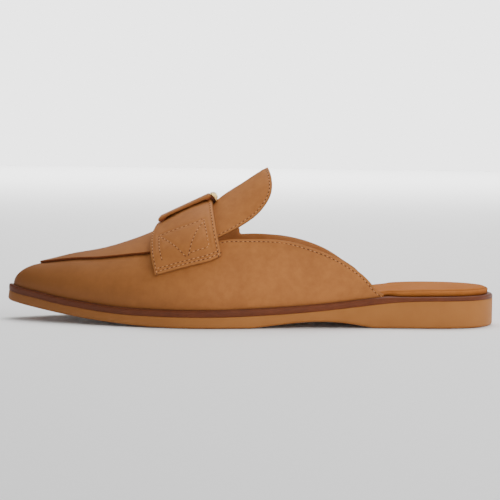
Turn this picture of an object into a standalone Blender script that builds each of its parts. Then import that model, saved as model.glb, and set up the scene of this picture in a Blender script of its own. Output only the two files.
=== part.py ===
"""A pointed backless loafer for the left foot.

Metres, +Z up, toe towards -X, outer side of the foot towards -Y. The origin lies on the ground
under the middle of the shoe's box.

The last is described by a plan outline, the level of the sole along the shoe and a table of
sections. Each leather piece is a patch of the last's skin, lifted by the layers beneath it.
"""
import math
from collections import namedtuple

import bmesh
import bpy
import numpy as np

# Driving sizes of the plan
SHOE_LENGTH = 0.268
BALL_WIDTH = 0.089
WAIST_WIDTH = 0.066
HEEL_WIDTH = 0.060

# Driving sizes of the sole
FOREFOOT_THICKNESS = 0.0060
HEEL_HEIGHT = 0.0150
TOE_SPRING = 0.0103
ARCH_RISE = 0.0034
SOLE_EDGE_RADIUS = 0.0016
SOLE_LEAN = 0.0011
MIDSOLE_THICKNESS = 0.0031
MIDSOLE_HEEL_THICKNESS = 0.0028
WELT_LEDGE = 0.0030
MIDSOLE_CHAMFER = 0.0006
INSOLE_THICKNESS = 0.0027
INSOLE_LEDGE = 0.0027
INSOLE_ROLL = 0.0010
INSOLE_CHAMFER = 0.0004
INSOLE_CLEARANCE = 0.0014

# Driving sizes of the upper and what lies on it
INSTEP_HEIGHT = 0.0550
WALL = 0.0020
APRON_THICKNESS = 0.0010
TONGUE_THICKNESS = 0.0018
STRAP_THICKNESS = 0.0028
KEEPER_WIDTH = 0.013
KEEPER_THICKNESS = 0.0025
KEEPER_FOLD = 0.0040
KEEPER_HOLLOW = 0.0013
KEEPER_ROUND = 0.0008
KEEPER_SET_BACK = 0.0024
KEEPER_OVERHANG = 0.0010
CLIP_RADIUS = 0.0026
CLIP_WIDTH = 0.012
CLIP_MOUTH = 80
CLIP_HOLLOW = 0.15
GAP = 0.0003

# Where the ground side of the sole leaves the floor, as shares of the length
SPRING_START = 0.355
SPRING_CURVE = 1.8
ARCH_START = 0.500
ARCH_END = 0.748
ARCH_SKEW = 1.2

# Where the footbed widens past the upper's tails, as shares of the length behind them
FLARE_START = 0.004
FLARE_END = 0.022

# Middle of a quarter round, as a share of its radius
ROUND_MIDDLE = 1 - math.sqrt(0.5)

# Plan outline: half widths either side of the midline, as shares of the width they follow
Outline = namedtuple("Outline", "share width lateral medial")
OUTLINE = [
    Outline(0.000, BALL_WIDTH, 0.000, 0.000),
    Outline(0.020, BALL_WIDTH, 0.090, 0.086),
    Outline(0.060, BALL_WIDTH, 0.166, 0.162),
    Outline(0.120, BALL_WIDTH, 0.262, 0.262),
    Outline(0.200, BALL_WIDTH, 0.366, 0.372),
    Outline(0.280, BALL_WIDTH, 0.446, 0.452),
    Outline(0.340, BALL_WIDTH, 0.484, 0.484),
    Outline(0.400, BALL_WIDTH, 0.500, 0.470),
    Outline(0.500, WAIST_WIDTH, 0.622, 0.524),
    Outline(0.600, WAIST_WIDTH, 0.550, 0.450),
    Outline(0.700, HEEL_WIDTH, 0.540, 0.476),
    Outline(0.800, HEEL_WIDTH, 0.510, 0.496),
    Outline(0.900, HEEL_WIDTH, 0.490, 0.490),
    Outline(0.960, HEEL_WIDTH, 0.378, 0.378),
    Outline(0.985, HEEL_WIDTH, 0.246, 0.246),
    Outline(1.000, HEEL_WIDTH, 0.000, 0.000),
]

# Top of the outsole: shares of the toe spring and of the heel's height over the forefoot
Level = namedtuple("Level", "share spring heel")
SOLE_TOP = [
    Level(0.000, 0.960, 0.00),
    Level(0.030, 0.770, 0.00),
    Level(0.060, 0.650, 0.00),
    Level(0.095, 0.480, 0.00),
    Level(0.159, 0.252, 0.00),
    Level(0.220, 0.085, 0.00),
    Level(0.300, 0.005, 0.00),
    Level(0.400, 0.000, 0.00),
    Level(0.480, 0.000, 0.05),
    Level(0.560, 0.000, 0.17),
    Level(0.640, 0.000, 0.36),
    Level(0.720, 0.000, 0.63),
    Level(0.800, 0.000, 0.90),
    Level(0.880, 0.000, 0.98),
    Level(1.000, 0.000, 1.00),
]

# Sections of the last over its feather edge: crown height as a share of the instep height,
# the powers of the section's side and crown (2 is an ellipse), and how far the side bulges
Section = namedtuple("Section", "share crown side_power crown_power bulge")
SECTIONS = [
    Section(0.0000, 0.000, 2.00, 2.00, 0.045),
    Section(0.0145, 0.146, 2.00, 2.00, 0.045),
    Section(0.0355, 0.220, 2.00, 2.00, 0.045),
    Section(0.0607, 0.272, 2.02, 2.00, 0.045),
    Section(0.0989, 0.351, 2.05, 2.00, 0.045),
    Section(0.1300, 0.407, 2.05, 2.00, 0.042),
    Section(0.1748, 0.470, 2.05, 2.00, 0.040),
    Section(0.2504, 0.603, 2.00, 1.98, 0.035),
    Section(0.3080, 0.724, 1.95, 1.95, 0.030),
    Section(0.3610, 0.865, 1.90, 1.92, 0.030),
    Section(0.4030, 0.951, 1.88, 1.90, 0.030),
    Section(0.4212, 0.986, 1.87, 1.90, 0.028),
    Section(0.4390, 1.049, 1.86, 1.90, 0.025),
    Section(0.4770, 1.167, 1.85, 1.90, 0.020),
    Section(0.5270, 1.314, 1.85, 1.90, 0.020),
    Section(0.6000, 1.455, 1.90, 1.90, 0.015),
    Section(0.7000, 1.564, 1.95, 1.90, 0.010),
    Section(0.8000, 1.620, 2.00, 1.90, 0.000),
]

# Lines on the last: share along it, and turn round the section in degrees from the outer
# feather edge (0) over the ridge (90) to the inner feather edge (180)
Mark = namedtuple("Mark", "share turn")
TOPLINE = [
    Mark(0.7752, 1.0),
    Mark(0.7623, 2.7),
    Mark(0.7503, 5.4),
    Mark(0.7206, 11.2),
    Mark(0.6958, 14.8),
    Mark(0.6733, 17.7),
    Mark(0.6253, 22.8),
    Mark(0.5780, 27.4),
    Mark(0.5315, 31.1),
    Mark(0.4986, 34.0),
    Mark(0.4713, 36.8),
    Mark(0.4369, 40.3),
    Mark(0.4150, 42.0),
    Mark(0.3800, 46.0),
    Mark(0.3600, 52.5),
    Mark(0.3450, 65.0),
    Mark(0.3360, 90.0),
    Mark(0.3450, 115.0),
    Mark(0.3600, 127.5),
    Mark(0.3800, 134.0),
    Mark(0.4150, 138.0),
    Mark(0.4500, 138.6),
    Mark(0.4697, 139.5),
    Mark(0.4770, 144.3),
    Mark(0.4874, 145.4),
    Mark(0.5275, 149.0),
    Mark(0.5683, 152.2),
    Mark(0.6028, 155.1),
    Mark(0.6381, 158.6),
    Mark(0.6725, 162.8),
    Mark(0.7078, 168.0),
    Mark(0.7327, 172.1),
    Mark(0.7600, 179.0),
]
APRON_SEAM = [
    Mark(0.0565, 90.0),
    Mark(0.0720, 80.5),
    Mark(0.1083, 72.5),
    Mark(0.1431, 67.6),
    Mark(0.1674, 64.9),
    Mark(0.1966, 61.8),
    Mark(0.2320, 57.9),
    Mark(0.2612, 54.3),
    Mark(0.2835, 51.7),
    Mark(0.3100, 49.5),
    Mark(0.3400, 48.0),
    Mark(0.3520, 47.5),
]

# Tongue, from its hidden root (0) to its tip (1): its edge's share, how far the edge spreads from
# the ridge in degrees, and its height from under the vamp (0) to on top of it (1)
Rung = namedtuple("Rung", "place share spread rise")
TONGUE = [
    Rung(0.000, 0.3120, 20.0, 0.00),
    Rung(0.100, 0.3360, 21.5, 0.00),
    Rung(0.200, 0.3600, 31.0, 0.30),
    Rung(0.280, 0.3800, 38.5, 0.75),
    Rung(0.370, 0.4000, 44.0, 1.00),
    Rung(0.450, 0.4200, 46.8, 1.00),
    Rung(0.530, 0.4380, 47.4, 1.00),
    Rung(0.610, 0.4577, 47.2, 1.00),
    Rung(0.700, 0.4782, 46.4, 1.00),
    Rung(0.780, 0.4982, 45.3, 1.00),
    Rung(0.860, 0.5186, 42.9, 1.00),
    Rung(0.910, 0.5311, 39.7, 1.00),
    Rung(0.950, 0.5391, 36.0, 1.00),
    Rung(0.975, 0.5424, 32.6, 1.00),
    Rung(1.000, 0.5431, 28.5, 1.00),
]
# How far short of the rim its middle rows stop, as a share, and how its rows crowd to the tip
TONGUE_TIP_DIP = 0.0075
TONGUE_CROWDING = 1.3

# Saddle strap: shares of its front and rear edges at each turn, mirrored past the ridge
Band = namedtuple("Band", "turn front rear")
STRAP = [
    Band(26.0, 0.3096, 0.4425),
    Band(40.0, 0.3024, 0.4350),
    Band(52.0, 0.2996, 0.4306),
    Band(62.0, 0.2994, 0.4278),
    Band(76.0, 0.3056, 0.4250),
    Band(90.0, 0.3108, 0.4235),
]
# Turn of the tabs' rear corners, and the turns between which the strap climbs onto the apron
STRAP_REAR_TURN = 29.8
STRAP_STEP_START = 33.0
STRAP_STEP_END = 43.0

# Mesh density: steps along each patch
SOLE_STATIONS = 36
UPPER_STEPS = (64, 12)
APRON_STEPS = (20, 10)
TONGUE_STEPS = (14, 16)
STRAP_STEPS = (30, 6)
KEEPER_ROWS = 6
CLIP_POINTS = 8
SLOPE_STEP = 0.004

# Colour, roughness and metallic of each material
Finish = namedtuple("Finish", "name colour roughness metallic")
LEATHER = Finish("tan_leather", (0.392, 0.160, 0.060, 1.0), 0.50, 0.0)
DARK_LEATHER = Finish("brown_leather_edge", (0.150, 0.050, 0.020, 1.0), 0.55, 0.0)
FOOTBED_LEATHER = Finish("footbed_leather", (0.360, 0.150, 0.055, 1.0), 0.55, 0.0)
RUBBER = Finish("tan_rubber", (0.402, 0.195, 0.085, 1.0), 0.60, 0.0)
BRASS = Finish("polished_brass", (0.850, 0.650, 0.300, 1.0), 0.20, 1.0)


def curve_through(places, values):
    """Natural cubic curve through the rows of a table, as a function."""
    x = np.asarray(places, float)
    y = np.asarray(values, float)
    step = np.diff(x)
    count = len(x)
    system = np.eye(count)
    right = np.zeros(count)
    for i in range(1, count - 1):
        system[i, i - 1:i + 2] = step[i - 1], 2 * (step[i - 1] + step[i]), step[i]
        right[i] = 6 * ((y[i + 1] - y[i]) / step[i] - (y[i] - y[i - 1]) / step[i - 1])
    bend = np.linalg.solve(system, right)

    def at(value):
        value = np.clip(value, x[0], x[-1])
        i = np.clip(np.searchsorted(x, value) - 1, 0, count - 2)
        a = (x[i + 1] - value) / step[i]
        b = (value - x[i]) / step[i]
        curve = (a ** 3 - a) * bend[i] + (b ** 3 - b) * bend[i + 1]
        return a * y[i] + b * y[i + 1] + curve * step[i] ** 2 / 6

    return at


def angle_at(share):
    """Angle of a station: equal angles crowd the stations at the round ends."""
    return np.arccos(1 - 2 * np.asarray(share, float))


def share_at(angle):
    return (1 - np.cos(angle)) / 2


def smooth_step(value, start, end):
    t = np.clip((value - start) / (end - start), 0, 1)
    return t * t * (3 - 2 * t)


OUTLINE_ANGLES = [float(angle_at(row.share)) for row in OUTLINE]
HALF_WIDTHS = {
    -1: curve_through(OUTLINE_ANGLES, [row.lateral * row.width for row in OUTLINE]),
    1: curve_through(OUTLINE_ANGLES, [row.medial * row.width for row in OUTLINE]),
}
HALF_SHARES = {
    -1: curve_through(OUTLINE_ANGLES, [row.lateral for row in OUTLINE]),
    1: curve_through(OUTLINE_ANGLES, [row.medial for row in OUTLINE]),
}


def half_width(angle, side, inset):
    """Half width of the plan on one side (-1 outer, 1 inner), drawn in by the inset."""
    full = HALF_WIDTHS[side](angle)
    return full - 2 * inset * HALF_SHARES[side](angle)


def midline_shift():
    """Distance that puts the middle of the plan's box on the X axis."""
    angles = np.linspace(0, math.pi, 400)
    return (half_width(angles, -1, 0).max() - half_width(angles, 1, 0).max()) / 2


MIDLINE = midline_shift()


def station(angle, toe_inset, heel_inset):
    """X of a station of a plan whose ends are drawn in by the two insets."""
    run = SHOE_LENGTH - toe_inset - heel_inset
    return toe_inset - SHOE_LENGTH / 2 + run * share_at(angle)


def shoe_share(x):
    return x / SHOE_LENGTH + 0.5


SOLE_SHARES = [row.share for row in SOLE_TOP]
SPRING_LEVEL = curve_through(SOLE_SHARES, [row.spring for row in SOLE_TOP])
HEEL_LEVEL = curve_through(SOLE_SHARES, [row.heel for row in SOLE_TOP])


def sole_top(x):
    share = shoe_share(x)
    rise = (HEEL_HEIGHT - FOREFOOT_THICKNESS) * HEEL_LEVEL(share)
    return FOREFOOT_THICKNESS + TOE_SPRING * SPRING_LEVEL(share) + rise


def sole_bottom(x):
    """Ground side of the sole: toe spring, flat forefoot, arch and flat heel."""
    share = shoe_share(x)
    spring = np.clip(1 - share / SPRING_START, 0, 1) ** SPRING_CURVE
    arch = np.clip((share - ARCH_START) / (ARCH_END - ARCH_START), 0, 1) ** ARCH_SKEW
    return TOE_SPRING * spring + ARCH_RISE * np.sin(math.pi * arch)


def midsole_top(x):
    """Top of the midsole, which thins towards the heel."""
    heel = HEEL_LEVEL(shoe_share(x))
    thickness = MIDSOLE_THICKNESS + (MIDSOLE_HEEL_THICKNESS - MIDSOLE_THICKNESS) * heel
    return sole_top(x) + GAP + thickness


def feather(x):
    """Level of the upper's lower edge."""
    return midsole_top(x) + GAP


SECTION_ANGLES = [float(angle_at(row.share)) for row in SECTIONS]
CROWN = curve_through(SECTION_ANGLES, [row.crown * INSTEP_HEIGHT for row in SECTIONS])
SIDE_POWER = curve_through(SECTION_ANGLES, [row.side_power for row in SECTIONS])
CROWN_POWER = curve_through(SECTION_ANGLES, [row.crown_power for row in SECTIONS])
BULGE = curve_through(SECTION_ANGLES, [row.bulge for row in SECTIONS])

# Scales rise * (1 - rise) ** 2 to a peak of one
BULGE_PEAK = 6.75


def last(p, q):
    """Point of the last's skin. p and q are the polar map of angle and turn about the toe."""
    p = np.asarray(p, float)
    q = np.maximum(q, 0.0)
    angle = np.hypot(p, q)
    turn = np.arctan2(q, -p)
    width = np.where(p < 0, half_width(angle, -1, WELT_LEDGE), half_width(angle, 1, WELT_LEDGE))
    rise = np.sin(turn) ** (2 / CROWN_POWER(angle))
    out = np.abs(np.cos(turn)) ** (2 / SIDE_POWER(angle))
    out = out * (1 + BULGE(angle) * BULGE_PEAK * rise * (1 - rise) ** 2)
    x = station(angle, WELT_LEDGE, WELT_LEDGE)
    y = np.where(p < 0, -1, 1) * width * out + MIDLINE
    return np.stack([x, y, feather(x) + CROWN(angle) * rise], axis=-1)


def skin(p, q, lift):
    """Point at a height over the last's skin, along its normal."""
    across = last(p + SLOPE_STEP, q) - last(p - SLOPE_STEP, q)
    along = last(p, q + SLOPE_STEP) - last(p, q - SLOPE_STEP)
    normal = np.cross(along, across)
    normal /= np.linalg.norm(normal, axis=-1, keepdims=True)
    return last(p, q) + normal * np.asarray(lift)[..., None]


def on_map(share, turn):
    """Share and turn (degrees) of the last to its polar map."""
    angle = angle_at(share)
    turn = np.radians(turn)
    return -angle * np.cos(turn), angle * np.sin(turn)


def line_on_map(marks):
    """A line on the last as q over p."""
    points = sorted(tuple(float(c) for c in on_map(mark.share, mark.turn)) for mark in marks)
    return curve_through([p for p, q in points], [q for p, q in points])


def mirrored(marks):
    return [Mark(mark.share, 180 - mark.turn) for mark in marks if mark.turn != 90]


def material(finish):
    """Principled material of a finish, made once."""
    found = bpy.data.materials.get(finish.name)
    if found:
        return found
    made = bpy.data.materials.new(finish.name)
    made.use_nodes = True
    shader = made.node_tree.nodes["Principled BSDF"]
    shader.inputs["Base Color"].default_value = finish.colour
    shader.inputs["Roughness"].default_value = finish.roughness
    shader.inputs["Metallic"].default_value = finish.metallic
    return made


def add_object(name, bm, finish, collection):
    mesh = bpy.data.meshes.new(name)
    bm.to_mesh(mesh)
    bm.free()
    mesh.shade_smooth()
    mesh.materials.append(material(finish))
    made = bpy.data.objects.new(name, mesh)
    collection.objects.link(made)
    return made


def patch(name, steps, place, thickness, outward, finish, collection):
    """Grid laid on the last by place(u, v), u from inner to outer side, given a wall by Solidify."""
    columns, rows = steps
    bm = bmesh.new()
    bmesh.ops.create_grid(bm, x_segments=columns, y_segments=rows, size=0.5)
    grid = np.array([vert.co[:2] for vert in bm.verts]) + 0.5
    for vert, point in zip(bm.verts, place(grid[:, 0], grid[:, 1])):
        vert.co = point
    made = add_object(name, bm, finish, collection)
    wall = made.modifiers.new("wall", "SOLIDIFY")
    wall.thickness = thickness
    wall.offset = 1 if outward else -1
    wall.use_even_offset = True
    return made


def ring(angles, inset_at, level_at):
    """Closed loop of a plan: outer side from toe to heel, then the inner side back."""
    toe_inset = float(inset_at(0.0))
    heel_inset = float(inset_at(1.0))
    x = station(angles, toe_inset, heel_inset)
    inset = inset_at(shoe_share(x))
    outer = np.stack([x, MIDLINE - half_width(angles, -1, inset), level_at(x)], axis=-1)
    inner = np.stack([x, MIDLINE + half_width(angles, 1, inset), level_at(x)], axis=-1)
    return np.concatenate([outer, inner[-2:0:-1]])


def stack_of_rings(name, rings, finish, collection):
    """Solid lofted through the rings from the lowest up, its two caps laid as ladders."""
    bm = bmesh.new()
    loops = [[bm.verts.new(point) for point in points] for points in rings]
    count = len(loops[0])
    for low, high in zip(loops, loops[1:]):
        for i in range(count):
            j = (i + 1) % count
            bm.faces.new((low[i], low[j], high[j], high[i]))
    half = count // 2
    for loop, upward in ((loops[0], False), (loops[-1], True)):
        for i in range(half):
            rung = [loop[i], loop[i + 1], loop[-i - 1], loop[-i % count]]
            corners = list(dict.fromkeys(rung))
            bm.faces.new(corners if upward else corners[::-1])
    return add_object(name, bm, finish, collection)


def lean(share):
    """How far the sole's side has leaned in at its top edge: most at the toe."""
    return SOLE_LEAN * (1 - share)


def make_outsole(collection):
    """Rubber sole with a rounded lower edge, its side leaning in towards the welt."""
    angles = np.linspace(0, math.pi, SOLE_STATIONS + 1)
    middle = ROUND_MIDDLE * SOLE_EDGE_RADIUS
    rings = [
        ring(angles, lambda share: SOLE_EDGE_RADIUS, sole_bottom),
        ring(angles, lambda share: middle, lambda x: sole_bottom(x) + middle),
        ring(angles, lambda share: 0.0, lambda x: sole_bottom(x) + SOLE_EDGE_RADIUS),
        ring(angles, lean, sole_top),
    ]
    return stack_of_rings("outsole", rings, RUBBER, collection)


def make_midsole(collection):
    """Dark layer between sole and upper, its top edge broken by a small chamfer."""
    angles = np.linspace(0, math.pi, SOLE_STATIONS + 1)
    rings = [
        ring(angles, lean, lambda x: sole_top(x) + GAP),
        ring(angles, lean, lambda x: midsole_top(x) - MIDSOLE_CHAMFER),
        ring(angles, lambda share: lean(share) + MIDSOLE_CHAMFER, midsole_top),
    ]
    return stack_of_rings("midsole", rings, DARK_LEATHER, collection)


def insole_inset(share):
    """Inside the upper's wall as far as its tails, then out to the footbed's own ledge."""
    inside = WELT_LEDGE + WALL + INSOLE_CLEARANCE
    tail = TOPLINE[0].share
    flare = smooth_step(share, tail + FLARE_START, tail + FLARE_END)
    return inside + (INSOLE_LEDGE - inside) * flare


def make_insole(collection):
    """Footbed, its top edge rolled over."""
    angles = np.linspace(0, math.pi, 2 * SOLE_STATIONS + 1)
    middle = ROUND_MIDDLE * INSOLE_ROLL
    profile = [
        (INSOLE_CHAMFER, 0.0),
        (0.0, INSOLE_CHAMFER),
        (0.0, INSOLE_THICKNESS - INSOLE_ROLL),
        (middle, INSOLE_THICKNESS - middle),
        (INSOLE_ROLL, INSOLE_THICKNESS),
    ]
    rings = [
        ring(angles, lambda share: insole_inset(share) + inward, lambda x: feather(x) + height)
        for inward, height in profile
    ]
    return stack_of_rings("insole", rings, FOOTBED_LEATHER, collection)


def make_upper(collection):
    """Vamp and quarters in one wall, from the feather edge up to the topline."""
    topline = line_on_map(TOPLINE)
    outer_tail = float(on_map(TOPLINE[0].share, TOPLINE[0].turn)[0])
    inner_tail = float(on_map(TOPLINE[-1].share, TOPLINE[-1].turn)[0])

    def place(u, v):
        p = inner_tail + (outer_tail - inner_tail) * u
        return skin(p, v * topline(p), 0 * p)

    return patch("upper", UPPER_STEPS, place, WALL, False, LEATHER, collection)


def make_apron(collection):
    """Plug from its seam back to the throat, lying on the vamp."""
    throat = line_on_map(TOPLINE)
    seam = line_on_map(APRON_SEAM + mirrored(APRON_SEAM))
    half_reach = -float(on_map(APRON_SEAM[-1].share, APRON_SEAM[-1].turn)[0])

    def place(u, v):
        p = half_reach * (1 - 2 * u)
        q = seam(p) + (throat(p) - seam(p)) * v
        return skin(p, q, GAP + 0 * p)

    return patch("apron", APRON_STEPS, place, APRON_THICKNESS, True, LEATHER, collection)


def make_tongue(collection):
    """Flap from under the vamp, out of the throat and up to its rounded tip."""
    places = [row.place for row in TONGUE]
    share_at_edge = curve_through(places, [row.share for row in TONGUE])
    spread_at = curve_through(places, [row.spread for row in TONGUE])
    rise_at = curve_through(places, [row.rise for row in TONGUE])
    under = -(WALL + GAP)
    over = GAP + APRON_THICKNESS
    root = TONGUE[0].share
    tip = TONGUE[-1].share - TONGUE_TIP_DIP

    def place(u, v):
        along = 1 - (1 - v) ** TONGUE_CROWDING
        across = 1 - 2 * u
        middle = root + (tip - root) * along
        bow = (share_at_edge(along) - middle) * (1 - across ** 2) ** 2
        p, q = on_map(share_at_edge(along) - bow, 90 + across * spread_at(along))
        rise = np.clip(rise_at(along), 0, 1)
        return skin(p, q, under + (over - under) * rise)

    return patch("tongue", TONGUE_STEPS, place, TONGUE_THICKNESS, False, LEATHER, collection)


STRAP_TURNS = [row.turn for row in STRAP]
STRAP_FRONT = curve_through(STRAP_TURNS, [row.front for row in STRAP])
STRAP_REAR = curve_through(STRAP_TURNS, [row.rear for row in STRAP])


def strap_lift(turn):
    """Underside of the strap: on the quarter at its tabs, stepping up onto apron and tongue."""
    climb = smooth_step(90 - abs(turn - 90), STRAP_STEP_START, STRAP_STEP_END)
    return GAP + (APRON_THICKNESS + GAP) * climb


def make_saddle_strap(collection):
    """Strap over the ridge, its tabs reaching down both sides to a slanting lower edge."""
    def place(u, v):
        across = 1 - 2 * u
        end = STRAP_TURNS[0] + (STRAP_REAR_TURN - STRAP_TURNS[0]) * v
        turn = 90 + across * (90 - end)
        p, q = on_map(strap_share(v, turn), turn)
        return skin(p, q, strap_lift(turn))

    return patch("saddle_strap", STRAP_STEPS, place, STRAP_THICKNESS, True, LEATHER, collection)


def turn_across(share, offset):
    """Turn of the point of the skin at a distance to the side of the ridge."""
    angle = angle_at(share)
    part = np.abs(offset) / half_width(angle, -1, WELT_LEDGE)
    return 90 + np.degrees(np.arcsin(np.sign(offset) * part ** (SIDE_POWER(angle) / 2)))


def strap_share(along, turn):
    """Share of a point of the strap, from its front edge (0) to its rear edge (1)."""
    folded = 90 - abs(turn - 90)
    return STRAP_FRONT(folded) + (STRAP_REAR(folded) - STRAP_FRONT(folded)) * along


def swept_across(name, profile, along, width, finish, collection):
    """Closed profile swept from side to side over the strap's ridge.

    The profile's points are (distance past the strap's front or rear edge, height); along says
    which edge each is measured from.
    """
    past = np.array([point[0] for point in profile]) / SHOE_LENGTH
    lift = np.array([point[1] for point in profile])
    bm = bmesh.new()
    loops = []
    for row in range(KEEPER_ROWS + 1):
        offset = width * (0.5 - row / KEEPER_ROWS) + 0 * lift
        turn = turn_across(strap_share(along, 90) + past, offset)
        p, q = on_map(strap_share(along, turn) + past, turn)
        loops.append([bm.verts.new(point) for point in skin(p, q, lift)])
    for near, far in zip(loops, loops[1:]):
        for i in range(len(profile)):
            j = (i + 1) % len(profile)
            bm.faces.new((near[i], far[i], far[j], near[j]))
    bm.faces.new(loops[0])
    bm.faces.new(loops[-1][::-1])
    return add_object(name, bm, finish, collection)


def make_keeper(collection):
    """Band along the strap's ridge, both its ends folded under, hollow between the folds."""
    seat = 3 * GAP + APRON_THICKNESS + STRAP_THICKNESS
    top = seat + KEEPER_THICKNESS
    hollow = seat + KEEPER_HOLLOW
    half = [
        (KEEPER_FOLD + KEEPER_HOLLOW, hollow),
        (KEEPER_FOLD, seat),
        (KEEPER_ROUND, seat),
        (0, seat + KEEPER_ROUND),
        (0, top - KEEPER_ROUND),
        (KEEPER_ROUND, top),
    ]
    front = [(KEEPER_SET_BACK + distance, height) for distance, height in half]
    rear = [(KEEPER_OVERHANG - distance, height) for distance, height in half]
    along = np.array([0] * len(front) + [1] * len(rear))
    return swept_across("keeper", front + rear[::-1], along, KEEPER_WIDTH, LEATHER, collection)


def make_keeper_clip(collection):
    """Metal bar of D section behind the strap, its slightly hollow side under the keeper's end."""
    mouth = math.radians(CLIP_MOUTH)
    bends = np.linspace(-mouth, mouth, CLIP_POINTS)
    chord = math.cos(mouth)
    outer = CLIP_RADIUS * np.stack([np.cos(bends) - chord, np.sin(bends)], axis=-1)
    inner = outer * (CLIP_HOLLOW, 1)
    place = (KEEPER_OVERHANG + GAP, 2 * GAP + APRON_THICKNESS + CLIP_RADIUS)
    profile = np.concatenate([inner, outer[-2:0:-1]]) + place
    return swept_across("keeper_clip", profile, 1, CLIP_WIDTH, BRASS, collection)


def clear_scene():
    for thing in list(bpy.data.objects):
        bpy.data.objects.remove(thing, do_unlink=True)


def main():
    clear_scene()
    collection = bpy.data.collections.new("backless_loafer")
    bpy.context.scene.collection.children.link(collection)
    make_outsole(collection)
    make_midsole(collection)
    make_insole(collection)
    make_upper(collection)
    make_apron(collection)
    make_tongue(collection)
    make_saddle_strap(collection)
    make_keeper(collection)
    make_keeper_clip(collection)


main()
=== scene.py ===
"""A pointed backless loafer for the left foot, finished in leather, rubber and brass.

Metres, +Z up, toe towards -X, outer side of the foot towards -Y. The leather pieces are sheets laid
on the last at the heights they are sewn at, with rounded rims, linings and rows of stitches.
"""

import math
from collections import namedtuple

import bpy
import numpy as np
from mathutils import Matrix, Vector


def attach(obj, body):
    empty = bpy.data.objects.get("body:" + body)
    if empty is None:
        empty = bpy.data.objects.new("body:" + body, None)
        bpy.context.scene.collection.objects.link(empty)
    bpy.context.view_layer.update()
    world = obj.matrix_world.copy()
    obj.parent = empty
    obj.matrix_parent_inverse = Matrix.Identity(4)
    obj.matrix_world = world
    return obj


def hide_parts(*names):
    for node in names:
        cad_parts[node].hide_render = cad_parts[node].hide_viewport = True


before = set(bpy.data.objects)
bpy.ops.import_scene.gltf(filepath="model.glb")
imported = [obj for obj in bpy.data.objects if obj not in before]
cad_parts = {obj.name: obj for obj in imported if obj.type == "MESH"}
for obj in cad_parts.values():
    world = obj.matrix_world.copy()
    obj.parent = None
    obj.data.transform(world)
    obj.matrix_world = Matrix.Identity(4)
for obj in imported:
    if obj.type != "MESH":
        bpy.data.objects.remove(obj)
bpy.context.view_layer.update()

# Driving sizes of the plan
SHOE_LENGTH = 0.268
BALL_WIDTH = 0.089
WAIST_WIDTH = 0.066
HEEL_WIDTH = 0.060

# Driving sizes of the sole
FOREFOOT_THICKNESS = 0.0060
HEEL_HEIGHT = 0.0150
TOE_SPRING = 0.0103
ARCH_RISE = 0.0034
SOLE_EDGE_RADIUS = 0.0016
SOLE_LEAN = 0.0011
MIDSOLE_THICKNESS = 0.0031
MIDSOLE_HEEL_THICKNESS = 0.0028
WELT_LEDGE = 0.0030
INSOLE_THICKNESS = 0.0027
INSOLE_LEDGE = 0.0027
INSOLE_ROLL = 0.0010
INSOLE_CLEARANCE = 0.0014

# Driving sizes of the upper and what lies on it
INSTEP_HEIGHT = 0.0550
WALL = 0.0020
APRON_THICKNESS = 0.0010
TONGUE_THICKNESS = 0.0018
STRAP_THICKNESS = 0.0028
KEEPER_WIDTH = 0.013
KEEPER_THICKNESS = 0.0025
KEEPER_FOLD = 0.0040
KEEPER_HOLLOW = 0.0013
KEEPER_SET_BACK = 0.0024
KEEPER_OVERHANG = 0.0010
CLIP_RADIUS = 0.0026
CLIP_WIDTH = 0.012
CLIP_MOUTH = 80
GAP = 0.0003

# Where the ground side of the sole leaves the floor, as shares of the length
SPRING_START = 0.355
SPRING_CURVE = 1.8
ARCH_START = 0.500
ARCH_END = 0.748
ARCH_SKEW = 1.2

# Where the footbed widens past the upper's tails, as shares of the length behind them
FLARE_START = 0.004
FLARE_END = 0.022

# Plan outline: half widths either side of the midline, as shares of the width they follow
Outline = namedtuple("Outline", "share width lateral medial")
OUTLINE = [
    Outline(0.000, BALL_WIDTH, 0.000, 0.000),
    Outline(0.020, BALL_WIDTH, 0.090, 0.086),
    Outline(0.060, BALL_WIDTH, 0.166, 0.162),
    Outline(0.120, BALL_WIDTH, 0.262, 0.262),
    Outline(0.200, BALL_WIDTH, 0.366, 0.372),
    Outline(0.280, BALL_WIDTH, 0.446, 0.452),
    Outline(0.340, BALL_WIDTH, 0.484, 0.484),
    Outline(0.400, BALL_WIDTH, 0.500, 0.470),
    Outline(0.500, WAIST_WIDTH, 0.622, 0.524),
    Outline(0.600, WAIST_WIDTH, 0.550, 0.450),
    Outline(0.700, HEEL_WIDTH, 0.540, 0.476),
    Outline(0.800, HEEL_WIDTH, 0.510, 0.496),
    Outline(0.900, HEEL_WIDTH, 0.490, 0.490),
    Outline(0.960, HEEL_WIDTH, 0.378, 0.378),
    Outline(0.985, HEEL_WIDTH, 0.246, 0.246),
    Outline(1.000, HEEL_WIDTH, 0.000, 0.000),
]

# Top of the outsole: shares of the toe spring and of the heel's height over the forefoot
Level = namedtuple("Level", "share spring heel")
SOLE_TOP = [
    Level(0.000, 0.960, 0.00),
    Level(0.030, 0.770, 0.00),
    Level(0.060, 0.650, 0.00),
    Level(0.095, 0.480, 0.00),
    Level(0.159, 0.252, 0.00),
    Level(0.220, 0.085, 0.00),
    Level(0.300, 0.005, 0.00),
    Level(0.400, 0.000, 0.00),
    Level(0.480, 0.000, 0.05),
    Level(0.560, 0.000, 0.17),
    Level(0.640, 0.000, 0.36),
    Level(0.720, 0.000, 0.63),
    Level(0.800, 0.000, 0.90),
    Level(0.880, 0.000, 0.98),
    Level(1.000, 0.000, 1.00),
]

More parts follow.
